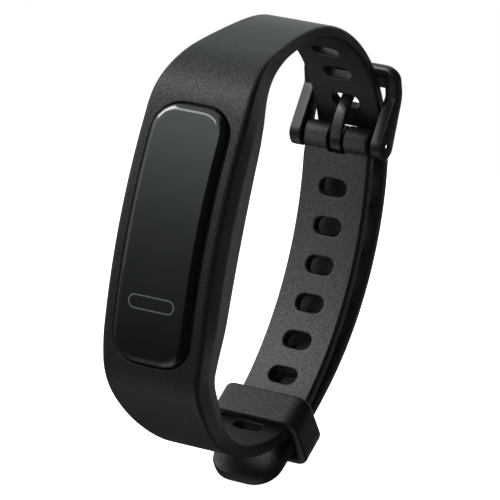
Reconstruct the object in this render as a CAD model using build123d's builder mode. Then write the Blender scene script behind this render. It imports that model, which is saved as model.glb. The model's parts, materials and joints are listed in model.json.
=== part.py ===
from build123d import *
import math
import os

# Fitness tracker band, closed as it is worn. Millimetres, +Z up.
# The origin is the centre of the core's flat wrist-side face. +Y points from that face to the wrist,
# so the display looks along -Y, and X runs across the strap.

# ---------------------------------------------------------------- driving dimensions
# Core
core_width = 12.7
core_height = 38.3
core_corner = 4.6
core_back_width = 11.2
core_back_height = 36.4
core_draft_y = -7.4
core_front_end = 13.0
case_wall = 0.9
case_end_y = -2.2
cover_back_y = -1.1
boss_width = 8.8
boss_height = 24.0
boss_corner = 3.0
face_y = -11.15
face_radius = 88.0
lens_thickness = 1.5
lens_round = 0.8
adhesive_thickness = 0.15
adhesive_width = 0.7
key_z = -10.2
key_length = 7.7
key_width = 2.15
key_line = 0.2
key_depth = 0.1

contact_z = -8.0
contact_spacing = 4.4
contact_radius = 1.1
contact_recess = 0.1
lip_height = 0.8
lip_gap = 0.1
lip_wall = 0.7
seal_thickness = 0.2

# Inside the core, as distances from the wrist face
panel_front_y = -8.85
panel_size = (8.2, 16.8, 1.35)
panel_z = 3.0
touch_y = -8.75
touch_size = (8.2, 3.2)
sheet = 0.15
tray_front_y = -7.8
tray_thickness = 1.2
tray_size = (10.4, 34.2)
tray_corner = 3.0
tray_window = (8.8, 19.4)
tray_window_z = 2.5
tray_slot = (2.4, 1.0)
board_front_y = -6.5
board_thickness = 0.7
board_size = (9.8, 33.6)
board_corner = 2.6
chip_height = 0.6
ribbon_turn_z = -6.3
touch_leg_z = -12.4
cell_size = (8.6, 22.0, 2.5)
cell_front_y = -5.6
cell_z = 5.6
motor_radius = 4.0
motor_z = -12.0
motor_front_y = -5.6
motor_depth = 2.2
motor_wall = 0.25
motor_cap_thickness = 0.25
shaft_radius = 0.4
weight_radius = 3.4
weight_hub_radius = 0.95
aerial_z = 14.6
aerial_size = (8.4, 2.6)

# Silicone band
fit_gap = 0.1
holder_front_y = -9.9
holder_inner_y = -0.15
holder_half_width = 8.4
holder_wrist_half_width = 7.3
holder_facet_y = -5.8
holder_end_half_width = 6.9
holder_end_y = 1.7
facet_reach = 8.0
holder_straight_z = 19.5
band_half_width = 5.8
band_thickness = 1.95
shoulder_slope = 40
shoulder_end = 38
shoulder_depth = 10.5
shoulder_cut = 14
top_cheek = [(8.4, 5), (8.0, 9.5), (7.1, 14.8), (6.5, 20.4), (6.0, 26.1)]
bottom_cheek = [(8.4, 3), (8.0, 7.6), (7.5, 14.7), (6.9, 19.4), (6.3, 23.5), (5.9, 29.5)]
crest = (19.83, 33.58)
crest_centre = (19.83, 6.28)
crest_end_angle = 46.4
tail_centre = (6.41, 3.71)
tail_radius = 41.1
tail_start_angle = 17.2
tail_end_angle = -34.0
tail_tip = (26.9, -36.1)
tip_corner = 4.2
low_point = (17.17, -30.6)
back_centre = (-3.15, 2.27)
back_radius = 45.5
back_start_angle = -34.0
back_end_angle = 15.0
hole_length = 4.6
hole_width = 2.8
hole_pitch = 6.3
tang_hole_stretch = 0.8
back_hole_distance = 7.8
back_holes = 8
tang_hole_distance = 22.9
tail_holes_before = 2
tail_holes_after = 9

# Buckle, turning on a spring bar through the band's end
pin_y = 40.3
pin_z = 18.1
lug_radius = 2.2
lug_slot_width = 3.1
lug_slot_depth = 4.5
tube_radius = 0.75
tube_wall = 0.22
running_gap = 0.05
arm_inner_x = 6.15
arm_outer_x = 8.1
arm_end_radius = 2.2
frame_corner = 2.2
bend_y = 41.4
bend_z = 26.0
bend_radius = 1.15
bar_y = 39.4
bar_z = 29.5
bar_radius = 1.0
plunger_radius = 0.45
coil_radius = 0.34
coil_wire = 0.12
coil_pitch = 0.55
plunger_tip_x = 7.9
plunger_inner_x = 3.1
tang_width = 1.9
tang_thickness = 0.95
tang_eye_radius = 2.15
bore_gap = 0.03

# Keeper
keeper_angle = -39.1
keeper_length = 5.6
keeper_wall = 1.4
keeper_tunnel_low = -2.3
keeper_tunnel_high = 4.2
keeper_half_tunnel = 6.1
keeper_corner = 1.6

os.makedirs("parts", exist_ok=True)


def polar(centre, radius, angle):
    """Point on a circle in the Y-Z plane, as (y, z); the angle is from +Y in degrees."""
    turn = math.radians(angle)
    return (centre[0] + radius * math.cos(turn), centre[1] + radius * math.sin(turn))


def save(part, name):
    """Label a finished piece and write its STEP file."""
    part.label = name
    export_step(part, f"parts/{name}.step")


def front_arc(vertex_y, half_height):
    """End points of the display curve whose middle is at vertex_y."""
    sagitta = face_radius - math.sqrt(face_radius**2 - half_height**2)
    return (vertex_y + sagitta, -half_height), (vertex_y, 0.0), (vertex_y + sagitta, half_height)


def outline_block(width, height, corner, y_from, y_to):
    """Upright rounded rectangle, centred on the Y axis, from y_from back to y_to."""
    with BuildPart() as block:
        with BuildSketch(Plane.XZ.offset(-y_from)):
            RectangleRounded(width, height, corner)
        extrude(amount=y_from - y_to)
    return block.part


# ---------------------------------------------------------------- middle lines of the band
def draw_tail_line():
    """Middle line of the tail half, from the crest over the buckle and down to its tip."""
    over_top = CenterArc(crest_centre, crest[1] - crest_centre[1], 90, crest_end_angle - 90)
    down_back = CenterArc(tail_centre, tail_radius, tail_start_angle, tail_end_angle - tail_start_angle)
    Spline(over_top @ 1, down_back @ 0, tangents=(over_top % 1, down_back % 0))
    tail_leaves = polar(tail_centre, tail_radius, tail_end_angle)
    tip_run = (tail_tip[0] - tail_leaves[0], tail_tip[1] - tail_leaves[1])
    Spline(down_back @ 1, tail_tip, tangents=(down_back % 1, tip_run))


def draw_back_line():
    """Middle line of the buckle half, from the lowest point up to the lug."""
    up_back = CenterArc(back_centre, back_radius, back_start_angle, back_end_angle - back_start_angle)
    Spline(low_point, up_back @ 0, tangents=((1, 0), up_back % 0))
    Spline(up_back @ 1, (pin_y, pin_z), tangents=(up_back % 1, (-0.1, 1)))


with BuildLine(Plane.YZ) as tail_line:
    draw_tail_line()
with BuildLine(Plane.YZ) as back_line:
    draw_back_line()
tail_wire = tail_line.wires()[0]
back_wire = back_line.wires()[0]


def strap_plane(wire, distance):
    """Plane on a middle line, distance along it: X across the strap, Z through its thickness."""
    along = wire.tangent_at(distance / wire.length)
    return Plane(origin=wire.position_at(distance / wire.length), x_dir=(1, 0, 0),
                 z_dir=Vector(1, 0, 0).cross(along))


# ---------------------------------------------------------------- forms that the pieces share
def core_form(gap):
    """Outer form of the core grown by gap: straight behind the lens, then drafted to the wrist side."""
    with BuildPart() as form:
        with BuildSketch(Plane.XZ.offset(core_front_end)):
            RectangleRounded(core_width + 2 * gap, core_height + 2 * gap, core_corner + gap)
        extrude(amount=-(core_draft_y + core_front_end))
        with BuildSketch(Plane.XZ.offset(-core_draft_y)):
            RectangleRounded(core_width + 2 * gap, core_height + 2 * gap, core_corner + gap)
        with BuildSketch(Plane.XZ.offset(-cover_back_y)):
            RectangleRounded(core_back_width + 2 * gap, core_back_height + 2 * gap, core_corner + gap)
        loft()
    return form.part


def cheek_cutters(slope, half_widths):
    """Two cutters that narrow a shoulder, seen square to it; half_widths lists (x, distance) points."""
    up = math.copysign(1, slope)
    turn = math.radians(abs(slope))
    shoulder = Plane(origin=(0, 0, 0), x_dir=(1, 0, 0), z_dir=(0, -math.sin(turn), up * math.cos(turn)))
    with BuildPart() as cutters:
        with BuildSketch(shoulder.offset(shoulder_depth)):
            with BuildLine():
                points = [(x, up * along) for x, along in half_widths + [(band_half_width, shoulder_end)]]
                edge = Spline(*points, tangents=((0, up), (0, up)))
                Polyline(edge @ 1, (2 * holder_half_width, up * shoulder_end),
                         (2 * holder_half_width, points[0][1]), edge @ 0)
            make_face()
            mirror(about=Plane.YZ)
        extrude(amount=shoulder_cut)
    return cutters.part


with BuildPart() as wrist_facets:
    with BuildSketch(Plane.XY.offset(-shoulder_end)):
        with BuildLine():
            Polyline((holder_half_width, holder_facet_y), (holder_wrist_half_width, holder_inner_y),
                     (holder_end_half_width, holder_end_y), (holder_end_half_width, facet_reach),
                     (2 * holder_half_width, facet_reach), (2 * holder_half_width, holder_facet_y),
                     (holder_half_width, holder_facet_y))
        make_face()
        mirror(about=Plane.YZ)
    extrude(amount=2 * shoulder_end)


# ---------------------------------------------------------------- strap: holder, tail and buckle half
with BuildPart() as strap:
    with BuildSketch(Plane.YZ):
        with BuildLine():
            front = ThreePointArc(*front_arc(holder_front_y, holder_straight_z))
            half = band_thickness / 2
            Spline(front @ 1, (-2.9, 26.5), (2.2, 29.3), (12.1, 33.2), (crest[0], crest[1] + half),
                   tangents=(front % 1, (1, 0)))
            Line((crest[0], crest[1] + half), (crest[0], crest[1] - half))
            Spline((crest[0], crest[1] - half), (7.5, 29.2), (2.6, 26.0), (holder_inner_y, 19),
                   tangents=((-1, 0), (0, -1)))
            Line((holder_inner_y, 19), (holder_inner_y, -19))
            Spline((holder_inner_y, -19), (2.4, -22.5), (6.5, -26.0), (low_point[0], low_point[1] + half),
                   tangents=((0, -1), (1, 0)))
            Line((low_point[0], low_point[1] + half), (low_point[0], low_point[1] - half))
            Spline((low_point[0], low_point[1] - half), (4.5, -29.2), (-2.3, -25.7), front @ 0,
                   tangents=((-1, 0), front % 0))
        make_face()
    extrude(amount=holder_half_width, both=True)
    with BuildSketch(Plane.YZ):
        with BuildLine():
            draw_tail_line()
        trace(line_width=band_thickness)
        with BuildLine():
            draw_back_line()
        trace(line_width=band_thickness)
        with Locations((pin_y, pin_z)):
            Circle(lug_radius)
    extrude(amount=band_half_width, both=True)
    # The holder narrows to the band's width round both shoulders, and towards the wrist.
    add(cheek_cutters(shoulder_slope, top_cheek), mode=Mode.SUBTRACT)
    add(cheek_cutters(-shoulder_slope, bottom_cheek), mode=Mode.SUBTRACT)
    add(wrist_facets.part, mode=Mode.SUBTRACT)
    # Pocket for the core, with a window in its floor for the core's boss.
    add(core_form(fit_gap), mode=Mode.SUBTRACT)
    add(outline_block(boss_width + 2 * fit_gap, boss_height + 2 * fit_gap, boss_corner, -3, 1),
        mode=Mode.SUBTRACT)
    # Adjustment holes; the one that holds the tang is drawn longer by it.
    for step in range(-tail_holes_before, tail_holes_after + 1):
        stretch = tang_hole_stretch if step == 0 else 0
        with BuildSketch(strap_plane(tail_wire, tang_hole_distance + step * hole_pitch)):
            RectangleRounded(hole_length, hole_width + stretch, hole_width / 2.2)
        extrude(amount=band_thickness, both=True, mode=Mode.SUBTRACT)
    for step in range(back_holes):
        with BuildSketch(strap_plane(back_wire, back_wire.length - back_hole_distance - step * hole_pitch)):
            RectangleRounded(hole_length, hole_width, hole_width / 2.2)
        extrude(amount=band_thickness, both=True, mode=Mode.SUBTRACT)
    # Slot for the tang between the two lugs, and the bore for the spring bar.
    slot_floor_z = pin_z + lug_radius - lug_slot_depth
    with BuildSketch(Plane.XY.offset(slot_floor_z)):
        with Locations((0, pin_y)):
            Rectangle(lug_slot_width, 3 * lug_radius)
    extrude(amount=lug_slot_depth, mode=Mode.SUBTRACT)
    with BuildSketch(Plane.YZ):
        with Locations((pin_y, pin_z)):
            Circle(tube_radius + bore_gap)
    extrude(amount=band_half_width, both=True, mode=Mode.SUBTRACT)
    tip_face = strap.faces().sort_by(Axis.Z)[0]
    fillet(tip_face.edges().filter_by(lambda e: e.length < 1.1 * band_thickness), tip_corner)
save(strap.part, "strap")


# ---------------------------------------------------------------- core: case, lens and seals
def curved_slab(front_y, thickness):
    """Plate that follows the display curve, much wider and taller than the core."""
    with BuildPart() as slab:
        with BuildSketch(Plane.YZ):
            with BuildLine():
                near = ThreePointArc(*front_arc(front_y, core_height))
                far = ThreePointArc(*front_arc(front_y + thickness, core_height))
                Line(near @ 0, far @ 0)
                Line(near @ 1, far @ 1)
            make_face()
        extrude(amount=core_width, both=True)
    return slab.part


def flat_slab(front_y, back_y):
    """Flat plate between two depths, much wider and taller than the core."""
    return outline_block(3 * core_width, 2 * core_height, core_corner, front_y, back_y)


case_front_y = face_y + lens_thickness + adhesive_thickness
deep = 30.0

with BuildPart() as key_outline:
    with BuildSketch(Plane.XZ.offset(-face_y - lens_thickness)):
        with Locations((0, key_z)):
            SlotOverall(key_length, key_width)
            SlotOverall(key_length - 2 * key_line, key_width - 2 * key_line, mode=Mode.SUBTRACT)
    extrude(amount=2 * lens_thickness)

with BuildPart() as key_mark:
    add(key_outline.part)
    add(curved_slab(face_y, key_depth), mode=Mode.INTERSECT)
save(key_mark.part, "key_mark")

with BuildPart() as cover_lens:
    add(core_form(0))
    add(curved_slab(face_y, lens_thickness), mode=Mode.INTERSECT)
    fillet(cover_lens.faces().sort_by(Axis.Y)[0].edges(), lens_round)
    add(key_mark.part, mode=Mode.SUBTRACT)
save(cover_lens.part, "cover_lens")

with BuildPart() as lens_adhesive:
    add(core_form(-fit_gap))
    add(curved_slab(face_y + lens_thickness, adhesive_thickness), mode=Mode.INTERSECT)
    add(core_form(-fit_gap - adhesive_width), mode=Mode.SUBTRACT)
save(lens_adhesive.part, "lens_adhesive")

with BuildPart() as core_case:
    add(core_form(0))
    add(curved_slab(case_front_y, deep), mode=Mode.INTERSECT)
    add(flat_slab(-core_front_end, case_end_y), mode=Mode.INTERSECT)
    add(core_form(-case_wall), mode=Mode.SUBTRACT)
save(core_case.part, "core_case")

cover_front_y = case_end_y + seal_thickness
with BuildPart() as case_seal:
    add(core_form(-fit_gap))
    add(flat_slab(case_end_y, cover_front_y), mode=Mode.INTERSECT)
    add(core_form(-case_wall), mode=Mode.SUBTRACT)
save(case_seal.part, "case_seal")

with BuildPart() as lip_ring:
    add(core_form(-case_wall - lip_gap))
    add(flat_slab(cover_front_y - seal_thickness - lip_height, cover_front_y), mode=Mode.INTERSECT)
    add(core_form(-case_wall - lip_gap - lip_wall), mode=Mode.SUBTRACT)

contact_places = [(side * contact_spacing / 2, contact_z) for side in (-1, 1)]
with BuildPart() as base_cover:
    add(core_form(0))
    add(flat_slab(cover_front_y, cover_back_y), mode=Mode.INTERSECT)
    add(lip_ring.part)
    add(outline_block(boss_width, boss_height, boss_corner, cover_back_y, 0))
    chamfer(base_cover.faces().sort_by(Axis.Y)[-1].edges(), 0.3)
    with BuildSketch(Plane.XZ.offset(-cover_front_y)):
        with Locations(*contact_places):
            Circle(contact_radius)
    extrude(amount=cover_front_y, mode=Mode.SUBTRACT)
save(base_cover.part, "base_cover")

with BuildPart() as charging_contacts:
    with BuildSketch(Plane.XZ.offset(contact_recess)):
        with Locations(*contact_places):
            Circle(contact_radius)
    extrude(amount=-cover_front_y - contact_recess)
    with BuildSketch(Plane.XZ.offset(-cover_front_y)):
        with Locations(*contact_places):
            Circle(contact_radius + case_wall / 2)
    extrude(amount=2 * seal_thickness)
save(charging_contacts.part, "charging_contacts")


# ---------------------------------------------------------------- core: electronics
def plate(size, corner, centre_z, front_y, thickness, centre_x=0):
    """Flat rounded plate that faces the display, from front_y back."""
    with BuildPart() as piece:
        with BuildSketch(Plane.XZ.offset(-front_y)):
            with Locations((centre_x, centre_z)):
                RectangleRounded(*size, corner)
        extrude(amount=-thickness)
    return piece.part


def bent_sheet(width, *points):
    """Thin sheet of the given width along a polyline of (y, z) points."""
    with BuildPart() as piece:
        with BuildSketch(Plane.YZ):
            with BuildLine():
                Polyline(*points)
            trace(line_width=sheet)
        extrude(amount=width / 2, both=True)
    return piece.part


panel_back_y = panel_front_y + panel_size[2]
save(plate(panel_size[:2], 0.6, panel_z, panel_front_y, panel_size[2]), "display_panel")
ribbon_y = panel_back_y + sheet
save(bent_sheet(5.0, (ribbon_y, -2.4), (ribbon_y, ribbon_turn_z), (board_front_y, ribbon_turn_z)),
     "display_flex")

with BuildPart() as touch_electrode:
    add(plate(touch_size, 1.2, key_z, touch_y, sheet))
    add(bent_sheet(1.4, (touch_y + sheet / 2, key_z), (touch_y + sheet / 2, touch_leg_z),
                   (board_front_y, touch_leg_z)))
save(touch_electrode.part, "touch_electrode")

with BuildPart() as inner_frame:
    add(plate(tray_size, tray_corner, 0, tray_front_y, tray_thickness))
    add(plate(tray_window, 1.0, tray_window_z, tray_front_y, tray_thickness), mode=Mode.SUBTRACT)
    add(plate(tray_slot, 0.3, touch_leg_z, tray_front_y, tray_thickness), mode=Mode.SUBTRACT)
save(inner_frame.part, "inner_frame")

save(plate(board_size, board_corner, 0, board_front_y, board_thickness), "main_board")
chip_front_y = board_front_y - chip_height
save(plate((5.0, 5.0), 0.2, 7.5, chip_front_y, chip_height), "processor_chip")
save(plate((2.5, 2.5), 0.15, 2.4, chip_front_y, chip_height, centre_x=-2.4), "motion_sensor")
save(plate((3.0, 3.0), 0.15, 2.4, chip_front_y, chip_height, centre_x=2.2), "memory_chip")
save(plate((2.2, 2.2), 0.15, -1.0, chip_front_y, chip_height), "power_chip")
save(plate(aerial_size, 0.3, aerial_z, tray_front_y - sheet, sheet), "antenna")

save(plate(cell_size[:2], 1.0, cell_z, cell_front_y, cell_size[2]), "battery")
cell_foot_z = cell_z - cell_size[1] / 2
cell_middle_y = cell_front_y + cell_size[2] / 2
save(bent_sheet(3.0, (cell_middle_y, cell_foot_z), (cell_middle_y, cell_foot_z - 1.2),
                (board_front_y + board_thickness, cell_foot_z - 1.2)), "battery_lead")

motor_back_y = motor_front_y + motor_depth
with BuildPart() as motor_can:
    with BuildSketch(Plane.XZ.offset(-motor_front_y)):
        with Locations((0, motor_z)):
            Circle(motor_radius)
    extrude(amount=-motor_depth)
    with BuildSketch(Plane.XZ.offset(-motor_front_y - motor_wall)):
        with Locations((0, motor_z)):
            Circle(motor_radius - motor_wall)
    extrude(amount=-motor_depth, mode=Mode.SUBTRACT)
save(motor_can.part, "motor_can")

with BuildPart() as motor_cap:
    with BuildSketch(Plane.XZ.offset(-motor_back_y)):
        with Locations((0, motor_z)):
            Circle(motor_radius)
    extrude(amount=-motor_cap_thickness)
    with BuildSketch(Plane.XZ.offset(-motor_back_y)):
        with Locations((0, motor_z)):
            Circle(shaft_radius)
    extrude(amount=motor_depth - motor_wall)
save(motor_cap.part, "motor_cap")

weight_gap = 0.2
with BuildPart() as motor_weight:
    with BuildSketch(Plane.XZ.offset(-motor_front_y - motor_wall - weight_gap)):
        with Locations((0, motor_z)):
            Circle(weight_radius)
            Rectangle(2 * weight_radius, weight_radius, align=(Align.CENTER, Align.MIN), mode=Mode.SUBTRACT)
            Circle(weight_hub_radius)
            Circle(shaft_radius + running_gap, mode=Mode.SUBTRACT)
    extrude(amount=-(motor_depth - motor_wall - 2 * weight_gap))
save(motor_weight.part, "motor_weight")


# ---------------------------------------------------------------- buckle and its spring bar
def hull_of(*rounds):
    """Tangent outline around (y, z, radius) rounds, for use inside a BuildSketch."""
    for y, z, radius in rounds:
        with Locations((y, z)):
            Circle(radius)
    make_hull()


pin_round = (pin_y, pin_z, arm_end_radius)
bend_round = (bend_y, bend_z, bend_radius)
bar_round = (bar_y, bar_z, bar_radius)
arm_thickness = arm_outer_x - arm_inner_x
with BuildPart() as buckle_frame:
    with BuildSketch(Plane.YZ.offset(arm_inner_x)):
        hull_of(pin_round, bend_round)
    extrude(amount=arm_thickness)
    with BuildSketch(Plane.YZ.offset(arm_inner_x)):
        hull_of(bend_round, bar_round)
    extrude(amount=arm_thickness)
    mirror(about=Plane.YZ)
    with BuildSketch(Plane.YZ):
        with Locations((bar_y, bar_z)):
            Circle(bar_radius)
    extrude(amount=arm_inner_x + arm_thickness / 2, both=True)
    # The bar runs into the arms round soft corners.
    with BuildSketch(Plane.XZ):
        with Locations((0, bar_z + bar_radius)):
            outline = Rectangle(2 * arm_outer_x, 2 * lug_radius + bar_z, align=(Align.CENTER, Align.MAX))
        fillet(outline.vertices().group_by(Axis.Y)[-1], frame_corner)
    extrude(amount=-2 * pin_y, mode=Mode.INTERSECT)
    with BuildSketch(Plane.YZ):
        with Locations((pin_y, pin_z)):
            Circle(plunger_radius + running_gap)
    extrude(amount=arm_outer_x, both=True, mode=Mode.SUBTRACT)
save(buckle_frame.part, "buckle_frame")

eye_y = pin_y - tang_eye_radius + tang_thickness / 2
rest_y = bar_y + bar_radius + tang_thickness / 2 + running_gap
with BuildPart() as buckle_tang:
    with BuildSketch(Plane.YZ):
        with Locations((pin_y, pin_z)):
            Circle(tang_eye_radius)
        with BuildLine():
            Spline((eye_y, pin_z), (eye_y + 0.15, pin_z + 3.4), (40.0, 24.6), (rest_y, bar_z - 1.2),
                   (rest_y, bar_z + 0.6), tangents=((0, 1), (0, 1)))
        trace(line_width=tang_thickness)
        with Locations((pin_y, pin_z)):
            Circle(tube_radius + running_gap, mode=Mode.SUBTRACT)
    extrude(amount=tang_width / 2, both=True)
save(buckle_tang.part, "buckle_tang")

tube_half = arm_inner_x - 3 * running_gap
with BuildPart() as pin_tube:
    with BuildSketch(Plane.YZ):
        with Locations((pin_y, pin_z)):
            Circle(tube_radius)
            Circle(tube_radius - tube_wall, mode=Mode.SUBTRACT)
    extrude(amount=tube_half, both=True)
save(pin_tube.part, "pin_tube")

for side, name in ((-1, "pin_plunger_left"), (1, "pin_plunger_right")):
    with BuildPart() as plunger:
        with BuildSketch(Plane.YZ.offset(side * plunger_inner_x)):
            with Locations((pin_y, pin_z)):
                Circle(plunger_radius)
        extrude(amount=side * (plunger_tip_x - plunger_inner_x))
        chamfer(plunger.faces().sort_by(Axis.X)[-1 if side > 0 else 0].edges(), plunger_radius / 3)
    save(plunger.part, name)

coil_half = plunger_inner_x - coil_wire
with BuildPart() as pin_spring:
    with BuildLine() as coil_line:
        Helix(pitch=coil_pitch, height=2 * coil_half, radius=coil_radius,
              center=(-coil_half, pin_y, pin_z), direction=(1, 0, 0))
    with BuildSketch(Plane(origin=coil_line.line @ 0, z_dir=coil_line.line % 0)):
        Circle(coil_wire / 2)
    sweep()
save(pin_spring.part, "pin_spring")


# ---------------------------------------------------------------- keeper
turn = math.radians(keeper_angle)
keeper_plane = Plane(origin=(0, *polar(back_centre, back_radius, keeper_angle)), x_dir=(1, 0, 0),
                     z_dir=(0, -math.sin(turn), math.cos(turn)))
tunnel_height = keeper_tunnel_high - keeper_tunnel_low
tunnel_middle = (keeper_tunnel_high + keeper_tunnel_low) / 2
with BuildPart() as keeper_loop:
    with BuildSketch(keeper_plane):
        with Locations((0, tunnel_middle)):
            RectangleRounded(2 * (keeper_half_tunnel + keeper_wall), tunnel_height + 2 * keeper_wall,
                             keeper_corner + keeper_wall / 2)
            RectangleRounded(2 * keeper_half_tunnel, tunnel_height, keeper_corner / 2, mode=Mode.SUBTRACT)
    extrude(amount=keeper_length / 2, both=True)
save(keeper_loop.part, "keeper_loop")
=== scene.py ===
import json
import math

import bmesh
import bpy
import numpy as np
from mathutils import Matrix, Vector


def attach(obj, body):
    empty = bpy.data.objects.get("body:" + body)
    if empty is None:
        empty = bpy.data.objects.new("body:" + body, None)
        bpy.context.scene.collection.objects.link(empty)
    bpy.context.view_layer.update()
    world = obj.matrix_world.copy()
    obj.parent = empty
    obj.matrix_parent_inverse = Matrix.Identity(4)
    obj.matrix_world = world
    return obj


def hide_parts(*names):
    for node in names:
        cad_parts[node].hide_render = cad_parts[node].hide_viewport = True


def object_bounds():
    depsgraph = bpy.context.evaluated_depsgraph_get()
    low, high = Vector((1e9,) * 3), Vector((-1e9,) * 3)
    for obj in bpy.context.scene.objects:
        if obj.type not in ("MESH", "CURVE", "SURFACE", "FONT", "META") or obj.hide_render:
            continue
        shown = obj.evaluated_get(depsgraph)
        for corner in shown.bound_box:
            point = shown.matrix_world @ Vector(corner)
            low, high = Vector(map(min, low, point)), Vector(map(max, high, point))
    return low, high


# The looks of a fitness tracker band round its CAD frame. The shapes below are worked out in
# millimetres in the frame's axes: X across the band, +Y to the wrist, +Z up. Blender gets metres.
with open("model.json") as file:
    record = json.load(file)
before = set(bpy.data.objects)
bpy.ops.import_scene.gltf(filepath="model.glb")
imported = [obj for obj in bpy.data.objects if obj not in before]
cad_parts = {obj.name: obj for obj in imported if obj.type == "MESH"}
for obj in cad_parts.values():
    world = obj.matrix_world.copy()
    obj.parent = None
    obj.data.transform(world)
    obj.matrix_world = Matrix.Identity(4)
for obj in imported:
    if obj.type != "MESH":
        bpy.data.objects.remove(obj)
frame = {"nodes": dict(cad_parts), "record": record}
cad_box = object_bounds()

MM = 0.001
POINT_STEP = 0.1         # distance between the points that curves are worked out at
EDGE_STEPS = 4           # flats round a soft edge
WELD_DISTANCE = 0.002
SHARP_ANGLE = math.radians(40)


# ---------------------------------------------------------------- curves in the Y-Z plane
def unit(direction):
    """The same direction with a length of one."""
    direction = np.asarray(direction, float)
    return direction / np.linalg.norm(direction)


def arc(centre, radius, start, end):
    """Points on a circle from one angle to another, in degrees from +Y."""
    count = int(abs(math.radians(end - start)) * radius / POINT_STEP) + 2
    turn = np.radians(np.linspace(start, end, count))
    return np.column_stack((centre[0] + radius * np.cos(turn), centre[1] + radius * np.sin(turn)))


def spline(points, leaving, arriving):
    """Smooth curve through points, with its directions at both ends given."""
    points = np.array(points, float)
    spans = np.linalg.norm(np.diff(points, axis=0), axis=1)
    knots = np.concatenate(([0], np.cumsum(spans)))
    system = np.eye(len(points))
    slopes = np.zeros_like(points)
    slopes[0], slopes[-1] = unit(leaving), unit(arriving)
    for i in range(1, len(points) - 1):
        before, after = spans[i - 1], spans[i]
        system[i, i - 1:i + 2] = after, 2 * (before + after), before
        rise_before = (points[i] - points[i - 1]) / before
        rise_after = (points[i + 1] - points[i]) / after
        slopes[i] = 3 * (after * rise_before + before * rise_after)
    slopes = np.linalg.solve(system, slopes)
    at = np.linspace(0, knots[-1], int(knots[-1] / POINT_STEP) + 2)
    k = np.clip(np.searchsorted(knots, at, "right") - 1, 0, len(points) - 2)
    span = spans[k][:, None]
    t = (at[:, None] - knots[k][:, None]) / span
    return ((2 * t**3 - 3 * t**2 + 1) * points[k] + (t**3 - 2 * t**2 + t) * span * slopes[k]
            + (3 * t**2 - 2 * t**3) * points[k + 1] + (t**3 - t**2) * span * slopes[k + 1])


def join(*pieces):
    """One curve from pieces that follow on, each starting where the last one ends."""
    return np.vstack([pieces[0]] + [piece[1:] for piece in pieces[1:]])


def lengths(curve):
    """Distance along a curve at each of its points."""
    return np.concatenate(([0], np.cumsum(np.linalg.norm(np.diff(curve, axis=0), axis=1))))


def resample(curve, count):
    """The same curve as evenly spaced points."""
    along = lengths(curve)
    at = np.linspace(0, along[-1], count)
    return np.column_stack([np.interp(at, along, curve[:, i]) for i in range(2)])


def directions(curve):
    """Unit direction of a curve at each of its points."""
    slope = np.gradient(curve, axis=0)
    return slope / np.linalg.norm(slope, axis=1)[:, None]


def left_of(direction):
    """Directions turned 90 degrees to the left, seen along -X."""
    return np.column_stack((-direction[:, 1], direction[:, 0]))


def across_to(line, rays, target):
    """Where a ray from each point of line meets the target curve."""
    met = []
    for start, ray in zip(line, rays):
        to_target = target - start
        side = to_target[:, 0] * ray[1] - to_target[:, 1] * ray[0]
        ahead = (to_target @ ray)[:-1] > -1e-6
        crossing = np.flatnonzero(ahead & (side[:-1] * side[1:] <= 0))
        k = crossing[np.argmin((to_target @ ray)[crossing])]
        share = side[k] / (side[k] - side[k + 1]) if side[k] != side[k + 1] else 0
        met.append(target[k] + share * (target[k + 1] - target[k]))
    return np.array(met)


# ---------------------------------------------------------------- meshes from grids of points
class Skin:
    """Collects the surface of one piece as grids of points; their seams are welded at the end."""

    def __init__(self):
        self.points = []
        self.faces = []

    def grid(self, rows, closed=False):
        """Quads between rows of (x, y, z) points; closed joins the end of each row to its start."""
        rows = np.asarray(rows, float)
        height, width = rows.shape[:2]
        base = len(self.points)
        self.points.extend(rows.reshape(-1, 3))
        for i in range(height - 1):
            for j in range(width if closed else width - 1):
                k = (j + 1) % width
                self.faces.append((base + i * width + j, base + i * width + k,
                                   base + (i + 1) * width + k, base + (i + 1) * width + j))

    def build(self, name, material, body, node, bore=None):
        """The finished object, in metres, riding on a body and standing for a CAD node."""
        mesh = bpy.data.meshes.new(name)
        mesh.from_pydata([tuple(p) for p in np.array(self.points) * MM], [], self.faces)
        edit = bmesh.new()
        edit.from_mesh(mesh)
        bmesh.ops.remove_doubles(edit, verts=edit.verts, dist=WELD_DISTANCE * MM)
        bmesh.ops.dissolve_degenerate(edit, edges=edit.edges, dist=WELD_DISTANCE / 2 * MM)
        bmesh.ops.recalc_face_normals(edit, faces=edit.faces)
        edit.to_mesh(mesh)
        edit.free()
        piece = bpy.data.objects.new(name, mesh)
        bpy.context.scene.collection.objects.link(piece)
        if bore:
            drill(piece, *bore)
        for face in piece.data.polygons:
            face.use_smooth = True
        piece.data.set_sharp_from_angle(angle=SHARP_ANGLE)
        piece.data.materials.append(material)
        weighted = piece.modifiers.new("flat_faces_stay_flat", "WEIGHTED_NORMAL")
        weighted.keep_sharp = True
        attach(piece, body)
        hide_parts(node)


def drill(piece, centre, radius, reach):
    """Cuts a round hole along X through a piece."""
    across = Matrix.Translation(Vector((0, *centre)) * MM) @ Matrix.Rotation(math.pi / 2, 4, "Y")
    bar = bmesh.new()
    bmesh.ops.create_cone(bar, cap_ends=True, segments=32, radius1=radius * MM, radius2=radius * MM,
                          depth=2 * reach * MM, matrix=across)
    mesh = bpy.data.meshes.new("bore")
    bar.to_mesh(mesh)
    bar.free()
    cutter = bpy.data.objects.new("bore", mesh)
    bpy.context.scene.collection.objects.link(cutter)
    cut = piece.modifiers.new("bore", "BOOLEAN")
    cut.object = cutter
    cut.use_self = True
    drilled = piece.evaluated_get(bpy.context.evaluated_depsgraph_get())
    piece.data = bpy.data.meshes.new_from_object(drilled)
    piece.modifiers.remove(cut)
    bpy.data.objects.remove(cutter)


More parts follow.
